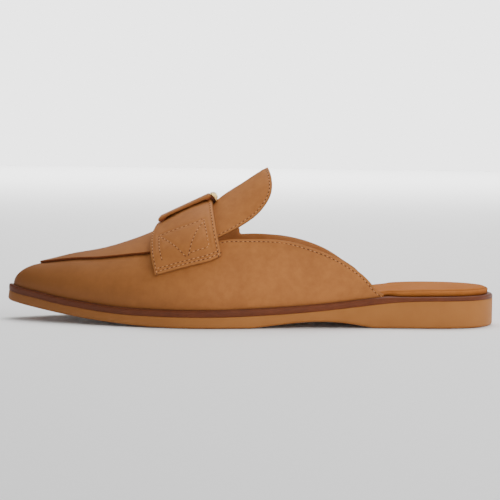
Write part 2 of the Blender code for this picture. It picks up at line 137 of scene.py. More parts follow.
# Sections of the last over its feather edge: crown height as a share of the instep height,
# the powers of the section's side and crown (2 is an ellipse), and how far the side bulges
Section = namedtuple("Section", "share crown side_power crown_power bulge")
SECTIONS = [
    Section(0.0000, 0.000, 2.00, 2.00, 0.045),
    Section(0.0145, 0.146, 2.00, 2.00, 0.045),
    Section(0.0355, 0.220, 2.00, 2.00, 0.045),
    Section(0.0607, 0.272, 2.02, 2.00, 0.045),
    Section(0.0989, 0.351, 2.05, 2.00, 0.045),
    Section(0.1300, 0.407, 2.05, 2.00, 0.042),
    Section(0.1748, 0.470, 2.05, 2.00, 0.040),
    Section(0.2504, 0.603, 2.00, 1.98, 0.035),
    Section(0.3080, 0.724, 1.95, 1.95, 0.030),
    Section(0.3610, 0.865, 1.90, 1.92, 0.030),
    Section(0.4030, 0.951, 1.88, 1.90, 0.030),
    Section(0.4212, 0.986, 1.87, 1.90, 0.028),
    Section(0.4390, 1.049, 1.86, 1.90, 0.025),
    Section(0.4770, 1.167, 1.85, 1.90, 0.020),
    Section(0.5270, 1.314, 1.85, 1.90, 0.020),
    Section(0.6000, 1.455, 1.90, 1.90, 0.015),
    Section(0.7000, 1.564, 1.95, 1.90, 0.010),
    Section(0.8000, 1.620, 2.00, 1.90, 0.000),
]

# Lines on the last: share along it, and turn round the section in degrees from the outer
# feather edge (0) over the ridge (90) to the inner feather edge (180)
Mark = namedtuple("Mark", "share turn")
TOPLINE = [
    Mark(0.7752, 1.0),
    Mark(0.7623, 2.7),
    Mark(0.7503, 5.4),
    Mark(0.7206, 11.2),
    Mark(0.6958, 14.8),
    Mark(0.6733, 17.7),
    Mark(0.6253, 22.8),
    Mark(0.5780, 27.4),
    Mark(0.5315, 31.1),
    Mark(0.4986, 34.0),
    Mark(0.4713, 36.8),
    Mark(0.4369, 40.3),
    Mark(0.4150, 42.0),
    Mark(0.3800, 46.0),
    Mark(0.3600, 52.5),
    Mark(0.3450, 65.0),
    Mark(0.3360, 90.0),
    Mark(0.3450, 115.0),
    Mark(0.3600, 127.5),
    Mark(0.3800, 134.0),
    Mark(0.4150, 138.0),
    Mark(0.4500, 138.6),
    Mark(0.4697, 139.5),
    Mark(0.4770, 144.3),
    Mark(0.4874, 145.4),
    Mark(0.5275, 149.0),
    Mark(0.5683, 152.2),
    Mark(0.6028, 155.1),
    Mark(0.6381, 158.6),
    Mark(0.6725, 162.8),
    Mark(0.7078, 168.0),
    Mark(0.7327, 172.1),
    Mark(0.7600, 179.0),
]
APRON_SEAM = [
    Mark(0.0565, 90.0),
    Mark(0.0720, 80.5),
    Mark(0.1083, 72.5),
    Mark(0.1431, 67.6),
    Mark(0.1674, 64.9),
    Mark(0.1966, 61.8),
    Mark(0.2320, 57.9),
    Mark(0.2612, 54.3),
    Mark(0.2835, 51.7),
    Mark(0.3100, 49.5),
    Mark(0.3400, 48.0),
    Mark(0.3520, 47.5),
]

# Tongue, from its hidden root (0) to its tip (1): its edge's share, how far the edge spreads from
# the ridge in degrees, and its height from under the vamp (0) to on top of it (1)
Rung = namedtuple("Rung", "place share spread rise")
TONGUE = [
    Rung(0.000, 0.3120, 20.0, 0.00),
    Rung(0.100, 0.3360, 21.5, 0.00),
    Rung(0.200, 0.3600, 31.0, 0.30),
    Rung(0.280, 0.3800, 38.5, 0.75),
    Rung(0.370, 0.4000, 44.0, 1.00),
    Rung(0.450, 0.4200, 46.8, 1.00),
    Rung(0.530, 0.4380, 47.4, 1.00),
    Rung(0.610, 0.4577, 47.2, 1.00),
    Rung(0.700, 0.4782, 46.4, 1.00),
    Rung(0.780, 0.4982, 45.3, 1.00),
    Rung(0.860, 0.5186, 42.9, 1.00),
    Rung(0.910, 0.5311, 39.7, 1.00),
    Rung(0.950, 0.5391, 36.0, 1.00),
    Rung(0.975, 0.5424, 32.6, 1.00),
    Rung(1.000, 0.5431, 28.5, 1.00),
]
# How far short of the rim its middle rows stop, as a share, and how its rows crowd to the tip
TONGUE_TIP_DIP = 0.0075
TONGUE_CROWDING = 1.3

# Saddle strap: shares of its front and rear edges at each turn, mirrored past the ridge
Band = namedtuple("Band", "turn front rear")
STRAP = [
    Band(26.0, 0.3096, 0.4425),
    Band(40.0, 0.3024, 0.4350),
    Band(52.0, 0.2996, 0.4306),
    Band(62.0, 0.2994, 0.4278),
    Band(76.0, 0.3056, 0.4250),
    Band(90.0, 0.3108, 0.4235),
]
# Turn of the tabs' rear corners, and the turns between which the strap climbs onto the apron
STRAP_REAR_TURN = 29.8
STRAP_STEP_START = 33.0
STRAP_STEP_END = 43.0

# Thread: distance between stitches, its size and that of the needle holes (across and deep as
# shares of the thread's), how far a row lies from its edge, how near the next edge it runs (as a
# share of that), and the sewn channel
STITCH_PITCH = 0.00244
THREAD_RADIUS = 0.00022
THREAD_LENGTH = 0.0013
HOLE_LENGTH = 0.0013
HOLE_WIDTH = 1.15
HOLE_DEPTH = 0.3
TOPLINE_ROW = 0.0016
TONGUE_ROW = 0.0013
TONGUE_ROW_START = -0.030
STRAP_ROW = 0.0014
STRAP_END_ROWS = (0.0014, 0.0031)
CORNER_SHARE = 0.80
CHANNEL_DEPTH = 0.00016
CHANNEL_WIDTH = 0.0005

# Sewn reinforcement on each tab of the strap: turn in degrees, and share from the strap's front
# edge to its rear edge
Stitch = namedtuple("Stitch", "turn along")
TAB_ROWS = [
    [
        Stitch(36.0, 0.55),
        Stitch(36.7, 0.68),
        Stitch(37.5, 0.85),
        Stitch(47.0, 0.84),
        Stitch(57.9, 0.82),
        Stitch(57.0, 0.58),
        Stitch(58.6, 0.14),
        Stitch(47.3, 0.13),
        Stitch(37.6, 0.14),
    ],
    [Stitch(55.0, 0.18), Stitch(43.3, 0.36), Stitch(35.8, 0.467)],
    [Stitch(54.9, 0.79), Stitch(49.8, 0.70), Stitch(44.0, 0.63), Stitch(36.0, 0.548)],
]

# Soft folds of the worn leather: two ends on the last, width and height of the fold in metres
# (a trough is negative), placed where the foot bends and where the quarter gives
Fold = namedtuple("Fold", "share turn end_share end_turn width height")
FOLDS = [
    Fold(0.455, 9.0, 0.520, 27.0, 0.0060, -0.00030),
    Fold(0.490, 6.0, 0.560, 23.0, 0.0050, 0.00022),
    Fold(0.585, 5.0, 0.640, 18.0, 0.0060, -0.00028),
    Fold(0.245, 16.0, 0.280, 43.0, 0.0045, -0.00022),
    Fold(0.270, 8.0, 0.300, 22.0, 0.0040, 0.00018),
    Fold(0.150, 20.0, 0.185, 50.0, 0.0050, -0.00016),
    Fold(0.470, 170.0, 0.540, 155.0, 0.0060, -0.00030),
    Fold(0.260, 165.0, 0.285, 138.0, 0.0045, -0.00022),
]

# Groove that the apron's edge presses into the vamp, and the painted shade in it
SEAM_DEPTH = 0.00012
SEAM_WIDTH = 0.0005
SEAM_SHADE = 0.8

# How far the topline and the strap's front roll over their edges, as shares of the pieces
TOPLINE_REACH = 1.008
STRAP_REACH = 0.016

# How far the apron's edge is let down on the last's map, from the toe (0) to the strap (1)
Drop = namedtuple("Drop", "place depth")
SEAM_DROPS = [Drop(0.0, 0.0), Drop(0.15, 0.026), Drop(0.3, 0.044), Drop(0.45, 0.044),
              Drop(0.6, 0.030), Drop(0.75, 0.018), Drop(1.0, 0.022)]

# Air left between one piece of leather and the next that it lies on
CONTACT = 0.00004

# Rims: how square they are (2 is round), how far in their painted colour reaches (a painted
# highlight on the calf), and how far in and how strongly painted shade darkens the cut itself
RIM_SQUARENESS = 3
RIM_REACH = 0.0004
CUT_REACH = 0.00026
CUT_SHADE = 0.65

# Painted shade in the crease at the foot of the upper: its height and its strength
FOOT_REACH = 0.0007
FOOT_SHADE = 0.5

# Painted shade low on the vamp: how dark, how high, and where it ends along the shoe
LOW_VAMP_SHADE = 0.30
LOW_VAMP_SHADE_REACH = 0.010
LOW_VAMP_SHADE_FULL = -0.08
LOW_VAMP_SHADE_END = 0.01

# Density of a sheet: its columns and rows, and the share of each that a rounded rim takes
Grid = namedtuple("Grid", "columns rows column_rim row_rim")
UPPER_GRID = Grid(300, 64, 0.004, 0.05)
APRON_GRID = Grid(110, 70, 0.02, 0.03)
TONGUE_GRID = Grid(110, 100, 0.02, 0.03)
STRAP_GRID = Grid(230, 90, 0.02, 0.05)

# Places of the rows across a rounded rim, as shares of it
RIM = np.array([0.0, 0.03, 0.11, 0.25, 0.45, 0.70, 1.0])

# Density of the rest: stations of the sole, rows across the keeper and the clip, points of lines
SOLE_STATIONS = 120
SWEEP_ROWS = 30
PLAN_POINTS = 400
SEAM_POINTS = 120
FOLD_POINTS = 12
TAB_POINTS = 12
RIB_POINTS = 9
SOLE_EDGE_POINTS = 8
KEEPER_BEND_POINTS = 12
CLIP_POINTS = 24

# Step on the last's map over which its slopes are taken, and a length too short to divide by
SLOPE_STEP = 0.004
TINY = 1e-18

# Keeper and clip: the rounding of their ends, how deep the clasped leather fills the clip (as a
# share) and how far it tucks into the keeper
END_ROUND = 0.0004
CLIP_SHELL = 0.30
CORE_TUCK = 0.0005

# Painted shade low on their ends, under the keeper: how far in it reaches, and the heights between
# which it fades; and how far in from an end the hollow under the keeper starts to close and is
# closed
SIDE_SHADE = 0.0006
SHADE_LOW = 0.0006
SHADE_HIGH = 0.0018
HOLLOW_START = 0.0008
HOLLOW_END = 0.0030

# How far the midsole's top drops under the footbed behind the upper
HEEL_DROP = 0.0011
HEEL_DROP_START = 0.070
HEEL_DROP_END = 0.090

# Grip ribs under the sole, in a recess inside its border, and the slope of the recess's wall
RIB_PITCH = 0.0045
RIB_WIDTH = 0.0022
RIB_HEIGHT = 0.0005
TREAD_INSET = 0.0060
TREAD_SLOPE = 0.0002
TREAD_START = 0.06
TREAD_END = 0.965

# Share of the sole's lean that its side has at the top
TOP_LEAN = 0.4

# Profiles of the sole's layers, from the lowest row up: distance inwards from the edge and height
Step = namedtuple("Step", "inward height")
CAP_INSET = 0.004
TREAD_CAP_INSET = 0.012
EASED_FOOT = [Step(CAP_INSET, 0.0), Step(0.0003, 0.0), Step(0.0001, 0.0001), Step(0.0, 0.0003)]
EASED_TOP = [Step(row.inward, -row.height) for row in reversed(EASED_FOOT)]
MIDSOLE_CREST = [Step(0.0, -0.0012), Step(0.0001, -0.0008), Step(0.0003, -0.0004),
                 Step(0.0006, -0.00015), Step(0.0011, 0.0), Step(CAP_INSET, 0.0)]
FOOTBED_FOOT = [Step(0.0008, 0.0), Step(0.0002, 0.0003)]
# Painted shade on the footbed's lowest rows, where it meets the midsole
FOOTBED_FOOT_SHADE = [0.7, 0.5]

# Footbed: its side, its rolled edge and the groove pressed beside it. Distance inwards as a share
# of the roll, height as a share of the thickness, and how strongly painted shade darkens it
Roll = namedtuple("Roll", "inward height stain")
FOOTBED_ROWS = [
    Roll(0.0, 0.45, 0.0),
    Roll(0.15, 0.62, 0.0),
    Roll(0.5, 0.72, 0.0),
    Roll(0.8, 0.70, 0.6),
    Roll(1.0, 0.65, 0.6),
    Roll(1.2, 0.72, 0.6),
    Roll(1.5, 0.88, 0.0),
    Roll(2.0, 0.97, 0.0),
    Roll(2.8, 1.0, 0.0),
    Roll(4.0, 1.0, 0.0),
]

# Middle of the view and the photographer's place
CAMERA_PLACE = (-0.00039, -1.0, 0.110)
CAMERA_PITCH = 4.045
CAMERA_ROLL = 0.7
CAMERA_LENS = 130.58


def curve_through(places, values):
    """Natural cubic curve through the rows of a table, as a function."""
    x = np.asarray(places, float)
    y = np.asarray(values, float)
    step = np.diff(x)
    count = len(x)
    system = np.eye(count)
    right = np.zeros(count)
    for i in range(1, count - 1):
        system[i, i - 1:i + 2] = step[i - 1], 2 * (step[i - 1] + step[i]), step[i]
        right[i] = 6 * ((y[i + 1] - y[i]) / step[i] - (y[i] - y[i - 1]) / step[i - 1])
    bend = np.linalg.solve(system, right)

    def at(value):
        value = np.clip(value, x[0], x[-1])
        i = np.clip(np.searchsorted(x, value) - 1, 0, count - 2)
        a = (x[i + 1] - value) / step[i]
        b = (value - x[i]) / step[i]
        curve = (a ** 3 - a) * bend[i] + (b ** 3 - b) * bend[i + 1]
        return a * y[i] + b * y[i + 1] + curve * step[i] ** 2 / 6

    return at


def angle_at(share):
    """Angle of a station: equal angles crowd the stations at the round ends."""
    return np.arccos(1 - 2 * np.asarray(share, float))


def share_at(angle):
    return (1 - np.cos(angle)) / 2


def smooth_step(value, start, end):
    t = np.clip((value - start) / (end - start), 0, 1)
    return t * t * (3 - 2 * t)


def curves(table, places, *columns):
    """Curves through named columns of a table, over places of its rows."""
    return [curve_through(places, [getattr(row, column) for row in table]) for column in columns]


# Half shares and half widths of the plan, by side: -1 outer, 1 inner
OUTLINE_ANGLES = [float(angle_at(row.share)) for row in OUTLINE]
HALF_SHARES = dict(zip((-1, 1), curves(OUTLINE, OUTLINE_ANGLES, "lateral", "medial")))
HALF_WIDTHS = {
    -1: curve_through(OUTLINE_ANGLES, [row.lateral * row.width for row in OUTLINE]),
    1: curve_through(OUTLINE_ANGLES, [row.medial * row.width for row in OUTLINE]),
}


def half_width(angle, side, inset):
    """Half width of the plan on one side (-1 outer, 1 inner), drawn in by the inset."""
    full = HALF_WIDTHS[side](angle)
    return full - 2 * inset * HALF_SHARES[side](angle)


def midline_shift():
    """Distance that puts the middle of the plan's box on the X axis."""
    angles = np.linspace(0, math.pi, PLAN_POINTS)
    return (half_width(angles, -1, 0).max() - half_width(angles, 1, 0).max()) / 2


MIDLINE = midline_shift()


def station(angle, toe_inset, heel_inset):
    """X of a station of a plan whose ends are drawn in by the two insets."""
    run = SHOE_LENGTH - toe_inset - heel_inset
    return toe_inset - SHOE_LENGTH / 2 + run * share_at(angle)


def shoe_share(x):
    return x / SHOE_LENGTH + 0.5


SPRING_LEVEL, HEEL_LEVEL = curves(
    SOLE_TOP, [row.share for row in SOLE_TOP], "spring", "heel")


def sole_top(x):
    share = shoe_share(x)
    rise = (HEEL_HEIGHT - FOREFOOT_THICKNESS) * HEEL_LEVEL(share)
    return FOREFOOT_THICKNESS + TOE_SPRING * SPRING_LEVEL(share) + rise


def sole_bottom(x):
    """Ground side of the sole: toe spring, flat forefoot, arch and flat heel."""
    share = shoe_share(x)
    spring = np.clip(1 - share / SPRING_START, 0, 1) ** SPRING_CURVE
    arch = np.clip((share - ARCH_START) / (ARCH_END - ARCH_START), 0, 1) ** ARCH_SKEW
    return TOE_SPRING * spring + ARCH_RISE * np.sin(math.pi * arch)


def midsole_top(x):
    """Top of the midsole, which thins towards the heel."""
    heel = HEEL_LEVEL(shoe_share(x))
    thickness = MIDSOLE_THICKNESS + (MIDSOLE_HEEL_THICKNESS - MIDSOLE_THICKNESS) * heel
    return sole_top(x) + GAP + thickness


def feather(x):
    """Level of the upper's lower edge."""
    return midsole_top(x) + GAP


CROWN, SIDE_POWER, CROWN_POWER, BULGE = curves(
    SECTIONS, [float(angle_at(row.share)) for row in SECTIONS],
    "crown", "side_power", "crown_power", "bulge")

# Scales rise * (1 - rise) ** 2 to a peak of one
BULGE_PEAK = 6.75


def last(p, q):
    """Point of the last's skin. p and q are the polar map of angle and turn about the toe."""
    p = np.asarray(p, float)
    q = np.maximum(q, 0.0)
    angle = np.hypot(p, q)
    turn = np.arctan2(q, -p)
    width = np.where(p < 0, half_width(angle, -1, WELT_LEDGE), half_width(angle, 1, WELT_LEDGE))
    rise = np.sin(turn) ** (2 / CROWN_POWER(angle))
    out = np.abs(np.cos(turn)) ** (2 / SIDE_POWER(angle))
    out = out * (1 + BULGE(angle) * BULGE_PEAK * rise * (1 - rise) ** 2)
    x = station(angle, WELT_LEDGE, WELT_LEDGE)
    y = np.where(p < 0, -1, 1) * width * out + MIDLINE
    return np.stack([x, y, feather(x) + INSTEP_HEIGHT * CROWN(angle) * rise], axis=-1)


def slopes(p, q):
    """How the last's skin runs along each way of the map, over two steps."""
    return [last(p + a, q + b) - last(p - a, q - b) for a, b in ((SLOPE_STEP, 0), (0, SLOPE_STEP))]


def skin(p, q, lift):
    """Point at a height over the last's skin, along its normal."""
    across, along = slopes(p, q)
    normal = np.cross(along, across)
    normal /= np.linalg.norm(normal, axis=-1, keepdims=True)
    return last(p, q) + normal * np.asarray(lift)[..., None]


def on_map(share, turn):
    """Share and turn (degrees) of the last to its polar map."""
    angle = angle_at(share)
    turn = np.radians(turn)
    return -angle * np.cos(turn), angle * np.sin(turn)


def place_of(mark):
    return tuple(float(part) for part in on_map(mark.share, mark.turn))


def line_on_map(marks):
    """A line on the last as q over p."""
    return curve_through(*zip(*sorted(place_of(mark) for mark in marks)))


def mirrored(marks):
    return [Mark(mark.share, 180 - mark.turn) for mark in marks if mark.turn != 90]


def hex_colour(text):
    """sRGB hex to the linear colour that a shader takes."""
    parts = [int(text[i:i + 2], 16) / 255 for i in (1, 3, 5)]
    linear = [c / 12.92 if c <= 0.04045 else ((c + 0.055) / 1.055) ** 2.4 for c in parts]
    return (*linear, 1.0)


def node(tree, kind, inputs=None, **settings):
    """Adds a node with its settings. An input given as a socket is linked, one given as a node is
    linked to its first live output, and any other is set."""
    made = tree.nodes.new(kind)
    for key, value in settings.items():
        setattr(made, key, value)
    for key, value in (inputs or {}).items():
        if isinstance(value, bpy.types.Node):
            value = next(out for out in value.outputs if not out.is_unavailable)
        if isinstance(value, bpy.types.NodeSocket):
            tree.links.new(value, made.inputs[key])
        else:
            made.inputs[key].default_value = value
    return made


def material(name, looks, *details):
    """Material of one shader. looks(tree, place, *details) adds its patterns, on Object
    coordinates, and returns the shader's inputs."""
    made = bpy.data.materials.new(name)
    made.use_nodes = True
    tree = made.node_tree
    tree.nodes.clear()
    place = node(tree, "ShaderNodeTexCoord").outputs["Object"]
    shader = node(tree, "ShaderNodeBsdfPrincipled", looks(tree, place, *details))
    node(tree, "ShaderNodeOutputMaterial", {"Surface": shader})
    return made


def per_metre(millimetres):
    """Texture scale that gives features of a size in millimetres on Object coordinates."""
    return 1000 / millimetres


# Leather: its colour, the darker and lighter tones that it drifts to, the colour painted on its rim
# (a painted highlight on the calf, painted shade on the edged calf), the colour of its painted
# shade, the size of its grain in millimetres, the grain's height in metres, roughness, gloss
# (specular level), and how much painted shade darkens it towards the toe
Leather = namedtuple("Leather", "name colour deep pale rim stain grain_mm grain_height roughness "
                     "gloss burnish")

# Aniline calf, drum dyed and lightly waxed: even tan, a soft broad sheen, a fine tight grain.
# The real grain is about 0.2 mm; it is drawn at 0.6 mm so that it shows.
# Painted on the calf: its toe darker, painted shade, and its rim lighter, a painted highlight.
CALF = Leather("waxed_tan_calf_leather", "#A26534", "#754A28", "#AE7340", "#B4763F", "#3A1C0C",
               0.6, 0.00002, 0.58, 0.13, 0.85)
# The same calf with its skived edge painted dark, as round the apron and the keeper: painted shade
# where the edge meets what it lies on.
EDGED_CALF = CALF._replace(name="edge_stained_calf_leather", rim="#3C1D0D", stain="#6A3418")
# Pigskin lining, matt and a little paler than the calf, with open pores.
LINING = Leather("tan_pigskin_lining", "#B47C4C", "#A06A3C", "#BE885A", "#B4743E", "#3A1C0C",
                 0.9, 0.00004, 0.65, 0.10, 0.0)
# Footbed leather: paler than the upper, smooth and nearly matt.
FOOTBED = Leather("smooth_footbed_leather", "#A2622E", "#8E5224", "#AE6E3A", "#A4642F", "#5A3016",
                  0.8, 0.00002, 0.75, 0.03, 0.0)
# Vegetable tanned midsole leather, its edge stained dark brown and burnished with wax. Painted
# shade darkens it towards the toe.
STAINED = Leather("stained_edge_leather", "#5F3019", "#44200F", "#703B20", "#7A4527", "#2C1308",
                  0.6, 0.00004, 0.50, 0.20, 0.6)

# Painted shade towards the toe: from the waist, where it starts, to the toe, where it is full, in
# metres along the shoe
TOE_SHADE_START = 0.01
TOE_SHADE_END = -0.135


def toeward(tree, place, most):
    """Painted shade on leather and rubber, from nothing at the waist to the most at the toe."""
    along = node(tree, "ShaderNodeSeparateXYZ", {"Vector": place})
    return node(tree, "ShaderNodeMapRange", {
        "Value": along, "From Min": TOE_SHADE_START, "From Max": TOE_SHADE_END, "To Max": most},
        interpolation_type="SMOOTHSTEP")


def leather(tree, place, kind):
    """Grained skin, mottled, darkened at the toe and at marked places by painted shade, its rims
    painted.
    """
    drift = node(tree, "ShaderNodeTexNoise", {
        "Vector": place, "Scale": per_metre(30), "Detail": 3.0, "Roughness": 0.5})
    blotch = node(tree, "ShaderNodeTexNoise", {
        "Vector": place, "Scale": per_metre(4), "Detail": 4.0, "Roughness": 0.6})
    mottle = node(tree, "ShaderNodeMath", {0: drift, 1: blotch}, operation="ADD")
    spread = node(tree, "ShaderNodeMapRange", {
        "Value": mottle, "From Min": 0.75, "From Max": 1.25})
    tones = node(tree, "ShaderNodeMix", {
        "Factor": spread, "A": hex_colour(kind.deep), "B": hex_colour(kind.pale)},
        data_type="RGBA")
    colour = node(tree, "ShaderNodeMix", {
        "Factor": 0.35, "A": hex_colour(kind.colour), "B": tones}, data_type="RGBA")
    # One attribute carries the painted rim colour, the other the painted shade.
    rim, stain = (node(tree, "ShaderNodeAttribute", attribute_name=label).outputs["Fac"]
                  for label in ("rim", "stain"))
    for share, shade in ((toeward(tree, place, kind.burnish), kind.deep),
                         (rim, kind.rim), (stain, kind.stain)):
        colour = node(tree, "ShaderNodeMix", {
            "Factor": share, "A": colour, "B": hex_colour(shade)}, data_type="RGBA")
    grain = node(tree, "ShaderNodeTexVoronoi", {
        "Vector": place, "Scale": per_metre(kind.grain_mm), "Randomness": 1.0},
        feature="SMOOTH_F1")
    pores = node(tree, "ShaderNodeTexNoise", {
        "Vector": place, "Scale": per_metre(kind.grain_mm / 2), "Detail": 2.0})
    relief = node(tree, "ShaderNodeMath", {0: grain, 1: pores}, operation="ADD")
    bump = node(tree, "ShaderNodeBump", {
        "Height": relief, "Strength": 0.5, "Distance": kind.grain_height})
    polish = node(tree, "ShaderNodeMapRange", {
        "Value": blotch, "To Min": kind.roughness - 0.06, "To Max": kind.roughness + 0.06})
    return {"Base Color": colour, "Roughness": polish, "Normal": bump, "IOR": 1.45,
            "Specular IOR Level": kind.gloss}


def moulded_rubber(tree, place):
    """Tan rubber as moulded: matt, a little clouded, darker at the toe with painted shade, finely
    pebbled.
    """
    cloud = node(tree, "ShaderNodeTexNoise", {
        "Vector": place, "Scale": per_metre(12), "Detail": 5.0, "Roughness": 0.6})
    tone = node(tree, "ShaderNodeMix", {
        "Factor": cloud, "A": hex_colour("#905A2A"), "B": hex_colour("#A26A36")},
        data_type="RGBA")
    # Painted shade: the rubber darkens towards the toe.
    toe_shaded = node(tree, "ShaderNodeMix", {
        "Factor": toeward(tree, place, 0.8), "A": tone, "B": hex_colour("#6A4223")},
        data_type="RGBA")
    pebbles = node(tree, "ShaderNodeTexNoise", {
        "Vector": place, "Scale": per_metre(0.5), "Detail": 2.0})
    bump = node(tree, "ShaderNodeBump", {"Height": pebbles, "Strength": 0.4, "Distance": 0.00004})
    return {"Base Color": toe_shaded, "Roughness": 0.62, "Normal": bump, "IOR": 1.52,
            "Specular IOR Level": 0.15}


def polished_brass(tree, place):
    """Pale brass: a bright mirror, a little blurred where it has been wiped."""
    wipe = node(tree, "ShaderNodeTexNoise", {
        "Vector": place, "Scale": per_metre(0.8), "Detail": 3.0})
    polish = node(tree, "ShaderNodeMapRange", {"Value": wipe, "To Min": 0.22, "To Max": 0.34})
    return {"Base Color": hex_colour("#FFD98C"), "Metallic": 1.0, "Roughness": polish}


def speckled(tree, place, dark, light, speck_mm, roughness):
    """Dull fibre of two tones."""
    specks = node(tree, "ShaderNodeTexNoise", {"Vector": place, "Scale": per_metre(speck_mm)})
    tone = node(tree, "ShaderNodeMix", {
        "Factor": specks, "A": hex_colour(dark), "B": hex_colour(light)}, data_type="RGBA")
    return {"Base Color": tone, "Roughness": roughness, "IOR": 1.5}


calf, edged_calf, lining, footbed, stained = (
    material(kind.name, leather, kind) for kind in (CALF, EDGED_CALF, LINING, FOOTBED, STAINED))
rubber = material("moulded_tan_rubber", moulded_rubber)
brass = material("polished_pale_brass", polished_brass)
# Bonded nylon thread, waxed: tan like the calf, with the glints of its twist
thread = material("waxed_tan_thread", speckled, "#A4642F", "#C98E55", 0.3, 0.5)
# Needle hole: a very dark brown, dull spot, the painted shade of the hole
needle_hole_shade = material("needle_hole_leather", speckled, "#2A1206", "#43210E", 0.4, 0.9)
# Matt white studio paper
paper = material("white_studio_paper", speckled, "#F0F0F0", "#F4F4F4", 3.0, 0.9)


def add_object(name, data):
    made = bpy.data.objects.new(name, data)
    bpy.context.scene.collection.objects.link(made)
    return made


def piece_from(name, points, faces, materials, face_slots=None, **marks):
    """Mesh object at the origin, smooth shaded, its rim and its painted shade as attributes."""
    mesh = bpy.data.meshes.new(name)
    mesh.from_pydata([tuple(point) for point in points], [], faces)
    for finish in materials:
        mesh.materials.append(finish)
    if face_slots is not None:
        mesh.polygons.foreach_set("material_index", face_slots)
    for label, values in marks.items():
        layer = mesh.attributes.new(label, "FLOAT", "POINT")
        layer.data.foreach_set("value", np.asarray(values, np.float32))
    mesh.shade_smooth()
    return add_object(name, mesh)


def finish_piece(piece, slot, *nodes):
    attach(piece, "root")
    if nodes:
        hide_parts(*nodes)


# Sheets of leather on the last


def eased(count, edge):
    """Places from 0 to 1, crowded near both ends to follow a rounded rim."""
    inner = np.linspace(edge, 1 - edge, count - 2 * len(RIM) + 2)
    return np.concatenate([RIM[:-1] * edge, inner, 1 - RIM[-2::-1] * edge])


def edge_of(table, edge, step=0):
    """Grid points along one edge, or some steps in from it."""
    return {"first": table[step], "last": table[-1 - step],
            "start": table[:, step], "end": table[:, -1 - step]}[edge]


def distance_to(points, line):
    """Shortest distance of each point to a line of points."""
    flat = points.reshape(-1, 3)
    best = np.full(len(flat), np.inf)
    for corner, step in zip(line[:-1], np.diff(line, axis=0)):
        from_corner = flat - corner
        share = np.clip(from_corner @ step / max(step @ step, TINY), 0, 1)
        away = np.linalg.norm(from_corner - share[:, None] * step, axis=1)
        best = np.minimum(best, away)
    return best.reshape(points.shape[:-1])


def nearest(points, lines):
    return np.minimum.reduce([distance_to(points, line) for line in lines])


def beside(distance, width):
    """One on a line, falling off softly over a width."""
    return np.exp(-(distance / width) ** 2)


def rounding(distance, radius):
    """How far a rim of that radius has risen at a distance from its edge, 0 to 1."""
    short = 1 - np.clip(distance / radius, 0, 1)
    return (1 - short ** RIM_SQUARENESS) ** (1 / RIM_SQUARENESS)


Sheet = namedtuple("Sheet", "p q top_at thickness under middle rims")


def lay(grid, mapped, top_at, thickness, rims, under_at=None):
    """Places of a sheet. mapped(u, v) gives a place on the last's map, top_at(p, q) the height of
    the outer face, under_at(v) that of the underside where it isn't a thickness below."""
    u, v = np.meshgrid(eased(grid.columns, grid.column_rim), eased(grid.rows, grid.row_rim),
                       indexing="ij")
    p, q = mapped(u, v)
    under = under_at(v) if under_at else top_at(p, q) - thickness
    middle = skin(p, q, under + thickness / 2)
    return Sheet(p, q, top_at, thickness, under, middle, [edge_of(middle, rim) for rim in rims])


def raised(sheet, p, q, drop=0.0):
    """Points of the outer face, a drop beneath it, with the face's normals."""
    top = sheet.top_at(p, q) - drop
    low = skin(p, q, top)
    normal = skin(p, q, top + sheet.thickness) - low
    return low, normal / np.linalg.norm(normal, axis=-1, keepdims=True)


def row_beside(sheet, edges, inset):
    """Row of stitches a distance in from one edge, or from several on end, clear of corners.
    Edges with a minus run backwards."""
    points, ups = [], []
    for name in edges:
        edge = name.lstrip("-")
        turned = slice(None, None, -1 if name != edge else 1)
        p, q, middle, inner = (edge_of(table, edge, step)[turned] for table, step in (
            (sheet.p, 0), (sheet.q, 0), (sheet.middle, 0), (sheet.middle, 1)))
        by_p, by_q = (slope / (2 * SLOPE_STEP) for slope in slopes(p, q))
        side = np.cross(np.cross(by_q, by_p), np.gradient(middle, axis=0))
        side *= inset / np.linalg.norm(side, axis=-1, keepdims=True)
        side *= np.sign(np.sum(side * (inner - middle), axis=-1, keepdims=True))
        shift = np.linalg.pinv(np.stack([by_p, by_q], axis=-1)) @ side[..., None]
        p = p + shift[..., 0, 0]
        q = q + shift[..., 1, 0]
        half_deep = raised(sheet, p, q, sheet.thickness / 2)[0]
        inside = nearest(half_deep, sheet.rims) > CORNER_SHARE * inset
        low, up = raised(sheet, p[inside], q[inside], CHANNEL_DEPTH)
        points.append(low)
        ups.append(up)
    return np.concatenate(points), np.concatenate(ups)


